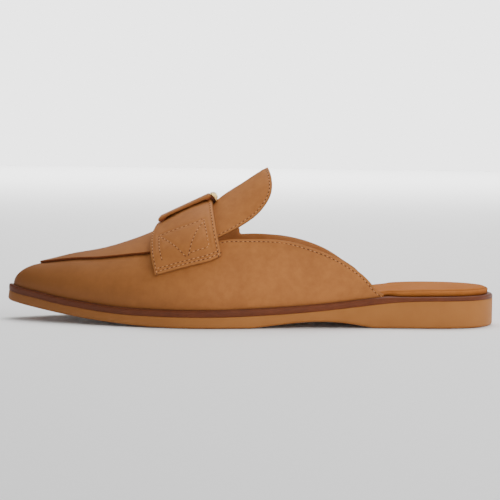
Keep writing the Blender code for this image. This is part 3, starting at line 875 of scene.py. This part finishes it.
def make_sheet(name, sheet, rows, finishes, grooves=(), folds=(), stain=0, rim_reach=RIM_REACH):
    """Closed sheet with rounded rims, drawn in along its rows of stitches, grooves and folds."""
    away = nearest(sheet.middle, sheet.rims)
    radius = sheet.thickness / 2
    swell = rounding(away, radius)
    relief = 0 * away
    if rows:
        relief -= CHANNEL_DEPTH * beside(nearest(sheet.middle, [r[0] for r in rows]) - radius,
                                         CHANNEL_WIDTH)
    for line in grooves:
        relief -= SEAM_DEPTH * beside(distance_to(sheet.middle, line) - radius, SEAM_WIDTH)
    for fold, line in folds:
        relief += fold.height * beside(distance_to(sheet.middle, line), fold.width)
    middle = sheet.under + radius
    outer = skin(sheet.p, sheet.q, middle + (radius + relief) * swell)
    inner = skin(sheet.p, sheet.q, middle - radius * swell)
    index = np.arange(away.size).reshape(away.shape)
    body = (slice(1, -1), slice(1, -1))
    inner_index = index.copy()
    inner_index[body] = away.size + np.arange(index[body].size).reshape(index[body].shape)
    quads = [np.stack([table[:-1, :-1], table[1:, :-1], table[1:, 1:], table[:-1, 1:]], axis=-1)
             .reshape(-1, 4) for table in (index, inner_index)]
    quads[1] = np.roll(quads[1][:, ::-1], 1, axis=1)
    # The rim's colour is painted, a painted highlight on the calf; painted shade darkens the cut.
    marks = {"rim": beside(away, rim_reach),
             "stain": np.maximum(CUT_SHADE * beside(away, CUT_REACH), stain)}
    return piece_from(
        name, np.concatenate([outer.reshape(-1, 3), inner[body].reshape(-1, 3)]),
        np.concatenate(quads).tolist(), finishes, np.repeat([0, 1], [len(q) for q in quads]),
        **{label: np.concatenate([table.ravel(), table[body].ravel()])
           for label, table in marks.items()})


# What geometry nodes grow along lines


def lines_object(name, lines):
    """Edges along lines of points, each point with the direction that is up for it."""
    points, ups, edges = [], [], []
    for path, normals in lines:
        first = len(points)
        points.extend(path)
        ups.extend(normals)
        edges.extend((first + k, first + k + 1) for k in range(len(path) - 1))
    mesh = bpy.data.meshes.new(name)
    mesh.from_pydata([tuple(point) for point in points], edges, [])
    layer = mesh.attributes.new("up", "FLOAT_VECTOR", "POINT")
    layer.data.foreach_set("vector", np.asarray(ups, np.float32).ravel())
    return add_object(name, mesh)


def new_tree(name, sizes):
    """Geometry tree with a geometry input and output and named sizes, with its inputs."""
    tree = bpy.data.node_groups.new(name, "GeometryNodeTree")
    face = tree.interface
    face.new_socket("Geometry", in_out="INPUT", socket_type="NodeSocketGeometry")
    for label in sizes:
        face.new_socket(label, in_out="INPUT", socket_type="NodeSocketFloat")
    face.new_socket("Geometry", in_out="OUTPUT", socket_type="NodeSocketGeometry")
    return tree, node(tree, "NodeGroupInput").outputs


STITCH_SIZES = {
    "Pitch": STITCH_PITCH,
    "Thread Radius": THREAD_RADIUS,
    "Thread Length": THREAD_LENGTH,
    "Hole Length": HOLE_LENGTH,
}


def stitch_tree():
    """Thread stitches, and the dark needle holes between them (painted shade), along sewn lines."""
    tree, given = new_tree("stitch_rows", STITCH_SIZES)
    line = node(tree, "GeometryNodeMeshToCurve", {"Mesh": given["Geometry"]})
    dotted = node(tree, "GeometryNodeResampleCurve", {
        "Curve": line, "Length": given["Pitch"]}, mode="LENGTH")
    spots = node(tree, "GeometryNodeCurveToPoints", {"Curve": dotted}, mode="EVALUATED")
    up = node(tree, "GeometryNodeInputNamedAttribute", {"Name": "up"}, data_type="FLOAT_VECTOR")
    upright = node(tree, "FunctionNodeAlignEulerToVector", {
        "Vector": up.outputs["Attribute"]}, axis="Z")
    turned = node(tree, "FunctionNodeAlignEulerToVector", {
        "Rotation": upright, "Vector": spots.outputs["Tangent"]}, axis="X", pivot_axis="Z")
    half = node(tree, "ShaderNodeMath", {0: given["Pitch"], 1: 0.5}, operation="MULTIPLY")
    ball = node(tree, "GeometryNodeMeshUVSphere", {"Segments": 8, "Rings": 6, "Radius": 1.0})
    both = node(tree, "GeometryNodeJoinGeometry")
    for length, width, depth, shift, finish in (
            (given["Thread Length"], 1.0, 1.0, 0.0, thread),
            (given["Hole Length"], HOLE_WIDTH, HOLE_DEPTH, half, needle_hole_shade)):
        reach, side, high = (
            node(tree, "ShaderNodeMath", {0: whole, 1: share}, operation="MULTIPLY")
            for whole, share in ((length, 0.5), (given["Thread Radius"], width),
                                 (given["Thread Radius"], depth)))
        size = node(tree, "ShaderNodeCombineXYZ", {"X": reach, "Y": side, "Z": high})
        moved = node(tree, "ShaderNodeCombineXYZ", {"X": shift})
        shaped = node(tree, "GeometryNodeTransform", {
            "Geometry": ball, "Translation": moved, "Scale": size})
        painted = node(tree, "GeometryNodeSetMaterial", {"Geometry": shaped, "Material": finish})
        sewn = node(tree, "GeometryNodeInstanceOnPoints", {
            "Points": spots, "Instance": painted, "Rotation": turned})
        tree.links.new(sewn.outputs["Instances"], both.inputs["Geometry"])
    real = node(tree, "GeometryNodeRealizeInstances", {"Geometry": both})
    smooth = node(tree, "GeometryNodeSetShadeSmooth", {"Geometry": real})
    node(tree, "NodeGroupOutput", {"Geometry": smooth})
    return tree


RIB_SIZES = {"Width": RIB_WIDTH, "Height": RIB_HEIGHT}


def rib_tree():
    """A rib of oblong section along each line."""
    tree, given = new_tree("grip_ribs", RIB_SIZES)
    line = node(tree, "GeometryNodeMeshToCurve", {"Mesh": given["Geometry"]})
    level = node(tree, "GeometryNodeSetCurveNormal", {"Curve": line}, mode="Z_UP")
    section = node(tree, "GeometryNodeCurvePrimitiveQuadrilateral", {
        "Width": given["Width"], "Height": given["Height"]})
    ribs = node(tree, "GeometryNodeCurveToMesh", {
        "Curve": level, "Profile Curve": section, "Fill Caps": True})
    real = node(tree, "GeometryNodeRealizeInstances", {"Geometry": ribs})
    painted = node(tree, "GeometryNodeSetMaterial", {"Geometry": real, "Material": rubber})
    node(tree, "NodeGroupOutput", {"Geometry": painted})
    return tree


def grown_piece(name, lines, tree, sizes):
    """Plain mesh of what a tree grows along lines."""
    source = lines_object(name + "_lines", lines)
    modifier = source.modifiers.new("grow", "NODES")
    modifier.node_group = tree
    for item in tree.interface.items_tree:
        if item.in_out == "INPUT" and item.name in sizes:
            modifier[item.identifier] = sizes[item.name]
    bpy.context.view_layer.update()
    mesh = bpy.data.meshes.new_from_object(
        source.evaluated_get(bpy.context.evaluated_depsgraph_get()))
    mesh.name = name
    bpy.data.objects.remove(source)
    return add_object(name, mesh)


STITCHES = stitch_tree()


def sew(name, rows):
    finish_piece(grown_piece(name, rows, STITCHES, STITCH_SIZES), "upper_leather")


# The upper

topline = line_on_map(TOPLINE)
seam = line_on_map(APRON_SEAM + mirrored(APRON_SEAM))
outer_tail = place_of(TOPLINE[0])[0]
inner_tail = place_of(TOPLINE[-1])[0]
half_reach = -place_of(APRON_SEAM[-1])[0]


def on_upper(u, v):
    p = inner_tail + (outer_tail - inner_tail) * u
    return p, v * topline(p) * TOPLINE_REACH


def fold_line(fold):
    """Points of a fold on the last's skin."""
    share = np.linspace(fold.share, fold.end_share, FOLD_POINTS)
    turn = np.linspace(fold.turn, fold.end_turn, FOLD_POINTS)
    return skin(*on_map(share, turn), -WALL / 2 + 0 * share)


def make_upper():
    """Vamp and quarters, lined, with the groove that the apron lies in."""
    sheet = lay(UPPER_GRID, on_upper, lambda p, q: 0 * p, WALL, ("first", "last", "end"))
    row = row_beside(sheet, ["end"], TOPLINE_ROW)
    p = np.linspace(-half_reach, half_reach, SEAM_POINTS)
    groove = skin(p, apron_edge(p), -WALL / 2 + 0 * p)
    foot = sheet.middle[..., 2] - feather(sheet.middle[..., 0])
    # The low vamp's painted shade is full towards the toe and fades out between these two places.
    forward = 1 - smooth_step(sheet.middle[..., 0], LOW_VAMP_SHADE_FULL, LOW_VAMP_SHADE_END)
    # Painted shade: at the upper's foot, in the groove beside the apron, and low on the vamp.
    stain = np.maximum.reduce([
        FOOT_SHADE * beside(foot, FOOT_REACH),
        SEAM_SHADE * beside(distance_to(sheet.middle, groove), SEAM_WIDTH),
        LOW_VAMP_SHADE * beside(foot, LOW_VAMP_SHADE_REACH) * forward])
    folds = [(fold, fold_line(fold)) for fold in FOLDS]
    piece = make_sheet("upper_leather_wall", sheet, [row], [calf, lining], [groove], folds, stain)
    finish_piece(piece, "upper_leather", "upper")
    sew("topline_stitches", [row])


def apron_edge(p):
    """Lower edge of the apron, let down a little between the toe and the strap."""
    return seam(p) - np.interp(np.abs(p) / half_reach, *np.transpose(SEAM_DROPS))


def on_apron(u, v):
    p = half_reach * (1 - 2 * u)
    low = apron_edge(p)
    return p, low + (topline(p) - low) * v


def make_apron():
    """Plug on the vamp, its skived edge painted dark, the painted shade of the crevice beneath it.
    """
    sheet = lay(APRON_GRID, on_apron, lambda p, q: GAP + APRON_THICKNESS + 0 * p,
                APRON_THICKNESS + GAP - CONTACT, ("first", "last", "start", "end"))
    piece = make_sheet("apron_leather", sheet, [], [edged_calf, edged_calf], rim_reach=CUT_REACH)
    finish_piece(piece, "upper_leather", "apron")


TONGUE_SHARE, TONGUE_SPREAD, TONGUE_RISE = curves(
    TONGUE, [rung.place for rung in TONGUE], "share", "spread", "rise")
OVER = GAP + APRON_THICKNESS


def tongue_along(v):
    return 1 - (1 - v) ** TONGUE_CROWDING


def on_tongue(u, v):
    along = tongue_along(v)
    across = 1 - 2 * u
    root, tip = TONGUE[0].share, TONGUE[-1].share - TONGUE_TIP_DIP
    bow = (TONGUE_SHARE(along) - root - (tip - root) * along) * (1 - across ** 2) ** 2
    return on_map(TONGUE_SHARE(along) - bow, 90 + across * TONGUE_SPREAD(along))


def under_tongue(v):
    under = -(WALL + GAP)
    rise = np.clip(TONGUE_RISE(tongue_along(v)), 0, 1)
    return under + (OVER - under) * rise - TONGUE_THICKNESS


def make_tongue():
    """Flap from under the vamp to its rounded tip, lined, sewn along its rim."""
    sheet = lay(TONGUE_GRID, on_tongue, lambda p, q: OVER + 0 * p, TONGUE_THICKNESS,
                ("first", "last", "end"), under_tongue)
    path, ups = row_beside(sheet, ["last", "-end", "-first"], TONGUE_ROW)
    shown = path[:, 0] > TONGUE_ROW_START
    row = (path[shown], ups[shown])
    piece = make_sheet("tongue_leather", sheet, [row], [calf, lining])
    finish_piece(piece, "upper_leather", "tongue")
    sew("tongue_stitches", [row])


STRAP_FRONT, STRAP_REAR = curves(STRAP, [band.turn for band in STRAP], "front", "rear")


def strap_share(along, turn):
    """Share of a point of the strap, from its front edge (0) to its rear edge (1)."""
    folded = 90 - abs(turn - 90)
    return STRAP_FRONT(folded) + (STRAP_REAR(folded) - STRAP_FRONT(folded)) * along


def on_strap(u, v):
    end = STRAP[0].turn + (STRAP_REAR_TURN - STRAP[0].turn) * v
    turn = 90 + (1 - 2 * u) * (90 - end)
    return on_map(strap_share(v - STRAP_REACH * (1 - v), turn), turn)


def strap_top(p, q):
    turn = np.degrees(np.arctan2(q, -p))
    climb = smooth_step(90 - abs(turn - 90), STRAP_STEP_START, STRAP_STEP_END)
    return GAP + (APRON_THICKNESS + GAP) * climb + STRAP_THICKNESS


def tab_row(sheet, stitches, outer):
    """Row through places on a tab, or on the inner side's tab."""
    places = np.linspace(0, len(stitches) - 1, TAB_POINTS * (len(stitches) - 1) + 1)
    corners = np.arange(len(stitches))
    turn = np.interp(places, corners, [stitch.turn for stitch in stitches])
    along = np.interp(places, corners, [stitch.along for stitch in stitches])
    p, q = on_map(strap_share(along, turn), turn if outer else 180 - turn)
    return raised(sheet, p, q, CHANNEL_DEPTH)


def make_strap():
    """Saddle strap, its tabs sewn down with double rows and a boxed vee."""
    sheet = lay(STRAP_GRID, on_strap, strap_top, STRAP_THICKNESS + GAP - CONTACT,
                ("first", "last", "start", "end"))
    rows = [row_beside(sheet, [edge], STRAP_ROW) for edge in ("start", "end")]
    rows += [row_beside(sheet, [edge], inset) for edge in ("first", "last")
             for inset in STRAP_END_ROWS]
    rows += [tab_row(sheet, stitches, outer) for outer in (True, False) for stitches in TAB_ROWS]
    piece = make_sheet("saddle_strap_leather", sheet, rows, [calf, calf])
    finish_piece(piece, "upper_leather", "saddle_strap")
    sew("strap_stitches", rows)


# Keeper and clip, swept across the strap's ridge. They lie at these heights over the last's skin

STRAP_SEAT = 2 * GAP + APRON_THICKNESS
KEEPER_SEAT = 3 * GAP + APRON_THICKNESS + STRAP_THICKNESS


def bands(loops, count):
    """Quads between closed loops of points, one loop after another."""
    return [(k * count + i, k * count + (i + 1) % count,
             (k + 1) * count + (i + 1) % count, (k + 1) * count + i)
            for k in range(loops - 1) for i in range(count)]


def turn_across(share, offset):
    """Turn of the point of the skin at a distance to the side of the ridge."""
    angle = angle_at(share)
    part = np.abs(offset) / half_width(angle, -1, WELT_LEDGE)
    return 90 + np.degrees(np.arcsin(np.sign(offset) * part ** (SIDE_POWER(angle) / 2)))


def swept_across(name, profile_at, along, width, finish):
    """Closed profile swept from side to side, drawn in at both ends so that they are rounded.
    profile_at(distance from the nearer end) gives rows of (distance past the edge, height)."""
    ends = RIM[:-1] * END_ROUND
    offsets = np.concatenate([ends, np.linspace(END_ROUND, width - END_ROUND, SWEEP_ROWS),
                              width - ends[::-1]])
    points, stain = [], []
    for far in offsets:
        near_end = min(far, width - far)
        profile = np.array(profile_at(near_end))
        centre = (profile.max(axis=0) + profile.min(axis=0)) / 2
        draw = END_ROUND * (1 - rounding(near_end, END_ROUND))
        drawn = centre + (profile - centre) * (1 - draw / (profile.max(axis=0) - centre))
        past = drawn[:, 0] / SHOE_LENGTH
        offset = width / 2 - far + 0 * past
        turn = turn_across(strap_share(along, 90) + past, offset)
        points.append(skin(*on_map(strap_share(along, turn) + past, turn), drawn[:, 1]))
        # Painted shade on each end, strongest at the bottom of its profile.
        low = 1 - smooth_step(profile[:, 1] - profile[:, 1].min(), SHADE_LOW, SHADE_HIGH)
        stain.append(beside(near_end, SIDE_SHADE) * low)
    count = len(along)
    faces = [(a, b, c, d) for a, d, c, b in bands(len(offsets), count)]
    total = len(offsets) * count
    faces += [tuple(range(count)), tuple(range(total - 1, total - count - 1, -1))]
    swept = piece_from(name, np.concatenate(points), faces, [finish],
                       stain=np.concatenate(stain))
    for cap in swept.data.polygons[-2:]:
        cap.use_smooth = False
    return swept


def arc(centre_x, centre_z, radius, start, end, count):
    bends = np.radians(np.linspace(start, end, count))
    return [(centre_x + radius * math.cos(b), centre_z + radius * math.sin(b)) for b in bends]


def make_keeper():
    """Band on the strap, folded under at both ends; its sides show the hollow between folds."""
    fold = KEEPER_THICKNESS / 2

    def half(near_end):
        hollow = KEEPER_HOLLOW * (1 - smooth_step(near_end, HOLLOW_START, HOLLOW_END))
        line = [(KEEPER_FOLD + KEEPER_HOLLOW, KEEPER_SEAT + hollow),
                (KEEPER_FOLD, KEEPER_SEAT + hollow / 2),
                (KEEPER_FOLD - KEEPER_HOLLOW / 2, KEEPER_SEAT), (KEEPER_FOLD / 2, KEEPER_SEAT)]
        return line + arc(fold, KEEPER_SEAT + fold, fold, 270, 90, KEEPER_BEND_POINTS)

    def profile_at(near_end):
        line = half(near_end)
        front = [(KEEPER_SET_BACK + distance, height) for distance, height in line]
        rear = [(KEEPER_OVERHANG - distance, height) for distance, height in line]
        return front + rear[::-1]

    along = np.repeat([0, 1], len(half(0)))
    piece = swept_across("keeper_leather", profile_at, along, KEEPER_WIDTH, edged_calf)
    finish_piece(piece, "upper_leather", "keeper")


def make_clip():
    """Brass bar of crescent section behind the strap, clasped round the keeper's leather end."""
    chord = math.cos(math.radians(CLIP_MOUTH)) * CLIP_RADIUS
    start = KEEPER_OVERHANG + GAP
    outer = arc(start - chord, STRAP_SEAT + CLIP_RADIUS, CLIP_RADIUS, -CLIP_MOUTH, CLIP_MOUTH,
                CLIP_POINTS)
    inner = [(start + (x - start) * CLIP_SHELL, z) for x, z in outer[-2:0:-1]]
    profile = (outer + inner)[::-1]
    core = [(GAP, STRAP_SEAT), (GAP, KEEPER_SEAT), (start - CORE_TUCK, KEEPER_SEAT + CORE_TUCK)]
    core += inner
    piece = swept_across("keeper_clip_brass", lambda near_end: profile, np.ones(len(profile)),
                         CLIP_WIDTH, brass)
    finish_piece(piece, "clip_metal", "keeper_clip")
    # The clasped leather end is real, but its dark midsole leather is painted shade of the clip's
    # hollow.
    piece = swept_across("keeper_end_leather", lambda near_end: core, np.ones(len(core)),
                         CLIP_WIDTH - END_ROUND, stained)
    finish_piece(piece, "upper_leather")


# The sole and what lies in it


def ring(angles, inset_at, level_at):
    """Closed loop of a plan: outer side from toe to heel, then the inner side back."""
    x = station(angles, float(inset_at(0.0)), float(inset_at(1.0)))
    inset = inset_at(shoe_share(x))
    outer = np.stack([x, MIDLINE - half_width(angles, -1, inset), level_at(x)], axis=-1)
    inner = np.stack([x, MIDLINE + half_width(angles, 1, inset), level_at(x)], axis=-1)
    return np.concatenate([outer, inner[-2:0:-1]])


def loft(name, profile, finish, stain=0):
    """Solid through rings from the lowest up, its caps laid as ladders. Each row of the profile
    is a ring's inset and level, as functions."""
    angles = np.linspace(0, math.pi, SOLE_STATIONS + 1)
    rings = [ring(angles, inset, level) for inset, level in profile]
    count = len(rings[0])
    faces = bands(len(rings), count)
    for base, upward in ((0, False), ((len(rings) - 1) * count, True)):
        for i in range(count // 2):
            rung = [base + i, base + i + 1, base + count - i - 1, base + (count - i) % count]
            corners = list(dict.fromkeys(rung))
            faces.append(tuple(corners if upward else corners[::-1]))
    rows = stain + np.zeros(len(rings))
    return piece_from(name, np.concatenate(rings), faces, [finish], stain=np.repeat(rows, count))


def lean(share):
    """How far the sole's side has leaned in at its top edge: most at the toe."""
    return TOP_LEAN * SOLE_LEAN * (1 - share)


def stepped(rows, inset_at, level_at):
    """Profile rows from (distance inwards, height) measured off an edge."""
    return [(lambda share, w=w: inset_at(share) + w, lambda x, h=h: level_at(x) + h)
            for w, h in rows]


def make_outsole():
    """Rubber sole, recessed underneath inside its border, with grip ribs in the recess."""
    edge = [(SOLE_EDGE_RADIUS * (1 - math.sin(bend)), SOLE_EDGE_RADIUS * (1 - math.cos(bend)))
            for bend in np.linspace(0, math.pi / 2, SOLE_EDGE_POINTS)]
    tread = [(TREAD_CAP_INSET, RIB_HEIGHT), (TREAD_INSET, RIB_HEIGHT),
             (TREAD_INSET - TREAD_SLOPE, 0.0), (CAP_INSET, 0.0)]
    profile = stepped(tread + edge, lambda share: 0 * share, sole_bottom)
    profile.append((lambda share: lean(share) / 2, lambda x: (sole_bottom(x) + sole_top(x)) / 2))
    profile += stepped(EASED_TOP, lean, sole_top)
    finish_piece(loft("outsole_rubber", profile, rubber), "sole_rubber", "outsole")
    lines = []
    shares = np.arange(TREAD_START, TREAD_END, RIB_PITCH / SHOE_LENGTH)
    for angle in angle_at(shares):
        reach = [half_width(angle, side, TREAD_INSET) - RIB_WIDTH / 2 for side in (-1, 1)]
        x = station(angle, 0, 0)
        y = np.linspace(MIDLINE - reach[0], MIDLINE + reach[1], RIB_POINTS)
        height = sole_bottom(x) + RIB_HEIGHT / 2
        path = np.stack([x + 0 * y, y, height + 0 * y], axis=-1)
        lines.append((path, np.tile((0.0, 0.0, 1.0), (len(y), 1))))
    finish_piece(grown_piece("grip_ribs_rubber", lines, rib_tree(), RIB_SIZES), "sole_rubber")


def welt(x):
    """Top of the midsole: the feather line, and lower where the footbed alone lies on it."""
    return feather(x) - HEEL_DROP * smooth_step(x, HEEL_DROP_START, HEEL_DROP_END)


def make_midsole():
    """Stained layer that fills the step between sole and upper; its top edge catches the light."""
    profile = stepped(EASED_FOOT, lean, sole_top) + stepped(MIDSOLE_CREST, lean, welt)
    finish_piece(loft("midsole_stained_leather", profile, stained), "midsole_leather", "midsole")


def insole_inset(share):
    """Inside the upper's wall as far as its tails, then out to the footbed's own ledge."""
    inside = WELT_LEDGE + WALL + INSOLE_CLEARANCE
    tail = TOPLINE[0].share
    flare = smooth_step(share, tail + FLARE_START, tail + FLARE_END)
    return inside + (INSOLE_LEDGE - inside) * flare


def make_footbed():
    """Padded footbed on the midsole, its rolled edge set off by a pressed groove in painted shade.
    """
    rolled = [(row.inward * INSOLE_ROLL, row.height * INSOLE_THICKNESS) for row in FOOTBED_ROWS]
    profile = stepped(FOOTBED_FOOT, insole_inset, welt) + stepped(rolled, insole_inset, feather)
    stain = FOOTBED_FOOT_SHADE + [row.stain for row in FOOTBED_ROWS]
    finish_piece(loft("footbed_leather", profile, footbed, stain), "footbed_leather", "insole")


make_upper()
make_apron()
make_tongue()
make_strap()
make_keeper()
make_clip()
make_outsole()
make_midsole()
make_footbed()

# Studio


def camera():
    data = bpy.data.cameras.new("camera")
    data.lens = CAMERA_LENS
    data.sensor_width = 36.0
    data.clip_start = 0.05
    data.clip_end = 50.0
    made = add_object("camera", data)
    tilt = Matrix.Rotation(math.radians(90 - CAMERA_PITCH), 4, "X")
    roll = Matrix.Rotation(math.radians(CAMERA_ROLL), 4, "Z")
    made.matrix_world = Matrix.Translation(CAMERA_PLACE) @ tilt @ roll
    bpy.context.scene.camera = made


Softbox = namedtuple("Softbox", "name place aim size power spread colour")
SOFTBOXES = [
    Softbox("heel_side", (0.55, -0.60, 0.50), (0.06, 0, 0.03), (0.45, 0.45), 3.7, 180, "#FFFFFF"),
    Softbox("overhead", (0.10, 0.35, 1.1), (0.03, 0.1, 0), (0.9, 0.7), 13.0, 180, "#FFFFFF"),
    Softbox("backdrop", (0.0, 2.7, 2.1), (0.0, 2.75, 0), (3.2, 1.8), 118.0, 106, "#FFFFFF"),
]
FLOOR_REACH = 3.3
FLOOR_LEVEL = -0.0001
SURROUND_TOE = 0.10
SURROUND_HEEL = 0.55
SURROUND_OVERHEAD = 1.5
SURROUND_WALL = 3.3
SURROUND_TURN = 0.7
WALL_FADE_START = 0.12
WALL_FADE_END = 0.20


def soft_light(box):
    data = bpy.data.lights.new(box.name, "AREA")
    data.shape = "RECTANGLE"
    data.size, data.size_y = box.size
    data.energy = box.power
    data.spread = math.radians(box.spread)
    data.color = hex_colour(box.colour)[:3]
    made = add_object(box.name, data)
    aim = (Vector(box.aim) - Vector(box.place)).to_track_quat("-Z", "Y").to_matrix().to_4x4()
    made.matrix_world = Matrix.Translation(box.place) @ aim


def surround():
    """White surround: a low bright wall all round, above it dim past the toe and bright past the
    heel and overhead."""
    world = bpy.data.worlds.new("surround")
    world.use_nodes = True
    tree = world.node_tree
    tree.nodes.clear()
    way = node(tree, "ShaderNodeTexCoord").outputs["Generated"]
    parts = node(tree, "ShaderNodeSeparateXYZ", {"Vector": way})
    heelward = node(tree, "ShaderNodeMapRange", {
        "Value": parts, "From Min": -SURROUND_TURN, "From Max": SURROUND_TURN,
        "To Min": SURROUND_TOE, "To Max": SURROUND_HEEL}, interpolation_type="SMOOTHSTEP")
    upward = node(tree, "ShaderNodeMapRange", {
        "Value": parts.outputs["Z"], "To Min": 1.0, "To Max": SURROUND_OVERHEAD})
    strength = node(tree, "ShaderNodeMath", {0: heelward, 1: upward}, operation="MULTIPLY")
    wall = node(tree, "ShaderNodeMapRange", {
        "Value": parts.outputs["Z"], "From Min": WALL_FADE_START, "From Max": WALL_FADE_END,
        "To Min": 1.0, "To Max": 0.0}, interpolation_type="SMOOTHSTEP")
    both = node(tree, "ShaderNodeMix", {"Factor": wall, "A": strength, "B": SURROUND_WALL})
    glow = node(tree, "ShaderNodeBackground", {"Color": hex_colour("#FFFFFF"), "Strength": both})
    node(tree, "ShaderNodeOutputWorld", {"Surface": glow})
    bpy.context.scene.world = world


def floor():
    mesh = bpy.data.meshes.new("floor")
    corners = [(-1, -1), (1, -1), (1, 1), (-1, 1)]
    mesh.from_pydata([(FLOOR_REACH * x, FLOOR_REACH * y, FLOOR_LEVEL) for x, y in corners], [],
                     [(0, 1, 2, 3)])
    mesh.materials.append(paper)
    add_object("floor", mesh)


camera()
surround()
floor()
for softbox in SOFTBOXES:
    soft_light(softbox)
